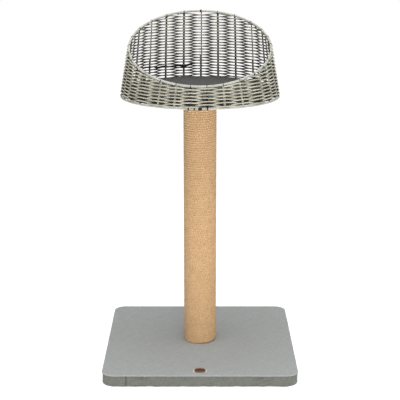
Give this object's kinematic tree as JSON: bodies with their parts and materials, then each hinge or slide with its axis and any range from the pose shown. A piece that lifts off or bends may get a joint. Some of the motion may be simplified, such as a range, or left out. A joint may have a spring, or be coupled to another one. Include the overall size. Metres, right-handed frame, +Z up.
{
  "type": "cat scratching post",
  "caption": "Cat scratching post: a square fabric-covered base, a rope-wound post and a round wicker basket with a slanted rim and a loose seat pad.",
  "frame": {"origin": "middle of the underside of the base, on the floor", "axes": "+Z up along the post, -Y towards the low front of the basket, +X to the right seen from the front"},
  "size_m": [0.5, 0.5, 0.9068],
  "materials": {
    "cover_fabric": "flat woven polyester, mid grey, matte",
    "band_fabric": "flat woven polyester, darker grey, matte",
    "lining": "black non-woven sheet",
    "badge_metal": "round badge left bare, bright ring round a dark middle",
    "board": "raw chipboard and plywood",
    "card": "spirally wound cardboard",
    "steel": "zinc plated",
    "rope": "twisted natural fibre rope, matte and hairy",
    "wire": "warm grey coating, satin",
    "stake_rod": "dark grey rod",
    "wicker": "round strand in warm grey, satin",
    "pad_fabric": "dark grey fabric, matte"
  },
  "bodies": {
    "stand": {"base_lining": "lining", "base_side_band": "band_fabric", "base_board": "board", "base_top_cover": "cover_fabric", "badge_plate": "badge_metal", "post_tube": "card", "post_foot_plug": "board", "post_head_plug": "board", "base_t_nut": "steel", "base_washer": "steel", "base_bolt": "steel", "head_t_nut": "steel", "head_washer": "steel", "head_bolt": "steel", "rope_lower_turns": "rope", "rope_middle": "rope", "rope_upper_turns": "rope", "bottom_ring": "wire", "cross_wire_front": "wire", "cross_wire_back": "wire", "floor_board": "board", "rim_ring": "wire", "basket_weave": "wicker", "stake_01": "stake_rod", "stake_02": "stake_rod", "stake_03": "stake_rod", "stake_04": "stake_rod", "stake_05": "stake_rod", "stake_06": "stake_rod", "stake_07": "stake_rod", "stake_08": "stake_rod", "stake_09": "stake_rod", "stake_10": "stake_rod", "stake_11": "stake_rod", "stake_12": "stake_rod", "stake_13": "stake_rod", "stake_14": "stake_rod", "stake_15": "stake_rod", "stake_16": "stake_rod", "stake_17": "stake_rod", "stake_18": "stake_rod", "stake_19": "stake_rod", "stake_20": "stake_rod", "stake_21": "stake_rod", "stake_22": "stake_rod", "stake_23": "stake_rod", "stake_24": "stake_rod", "stake_25": "stake_rod", "stake_26": "stake_rod", "stake_27": "stake_rod"},
    "pad": {"seat_pad": "pad_fabric"}
  },
  "joints": [
    {"name": "seat_pad_lift", "type": "slide", "parent": "stand", "child": "pad", "axis": [0, 0, 1], "range_m": [0, 0.22], "deforming": ["seat_pad"]}
  ]
}
